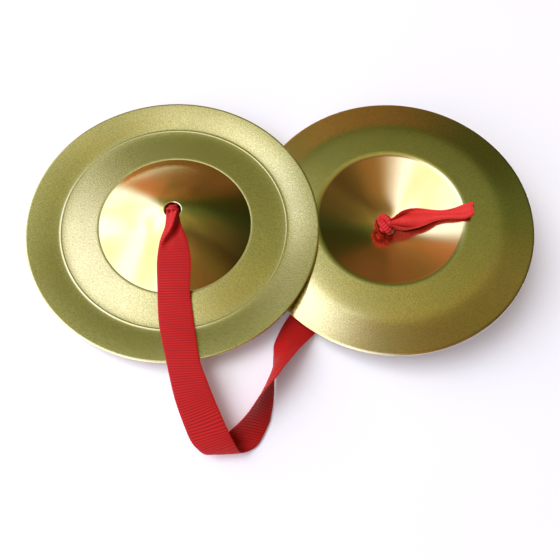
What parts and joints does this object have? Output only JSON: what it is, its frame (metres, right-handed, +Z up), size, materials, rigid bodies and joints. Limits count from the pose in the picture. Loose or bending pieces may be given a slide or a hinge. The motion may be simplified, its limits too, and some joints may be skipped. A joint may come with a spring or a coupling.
{
  "type": "finger cymbals",
  "caption": "Pair of round brass finger cymbals with raised bells and upturned brims, joined by a knotted red ribbon.",
  "frame": {"origin": "on the table, under the middle of the two cymbals' box", "axes": "+X from the left cymbal to the right one, -Y towards the ribbon's loop, +Z up"},
  "size_m": [0.1568, 0.115, 0.0192],
  "materials": {
    "brass_left": "satin ring and brim, more polished bell",
    "brass_right": "satin ring and brim, more polished bell",
    "ribbon": "ribbed grosgrain",
    "ribbon_knot": "ribbed grosgrain, knotted",
    "ribbon_tail": "ribbed grosgrain, creased"
  },
  "bodies": {
    "ribbon_right_half": {"ribbon_right": "ribbon", "knot_right": "ribbon_knot", "tail_right": "ribbon_tail"},
    "right_cymbal": {"cymbal_right": "brass_right"},
    "ribbon_left_half": {"ribbon_left": "ribbon"},
    "left_knot": {"knot_left": "ribbon_knot", "tail_left": "ribbon_tail"},
    "left_cymbal": {"cymbal_left": "brass_left"}
  },
  "joints": [
    {"name": "ribbon_fold", "type": "hinge", "parent": "ribbon_right_half", "child": "ribbon_left_half", "pos_m": [-0.0199, -0.0696, 0.0035], "axis": [1, 0, 0], "range_deg": [0, 90]},
    {"name": "left_tilt", "type": "hinge", "parent": "ribbon_left_half", "child": "left_knot", "pos_m": [-0.03415, 0, 0.01293], "axis": [0, -1, 0], "range_deg": [0, 5]},
    {"name": "left_spin", "type": "hinge", "parent": "left_knot", "child": "left_cymbal", "pos_m": [-0.0341, 0, 0.01223], "axis": [-0.075, 0, 0.9972], "continuous": true},
    {"name": "right_spin", "type": "hinge", "parent": "ribbon_right_half", "child": "right_cymbal", "pos_m": [0.03577, 0, 0.00192], "axis": [-0.1994, 0, 0.9799], "continuous": true}
  ]
}
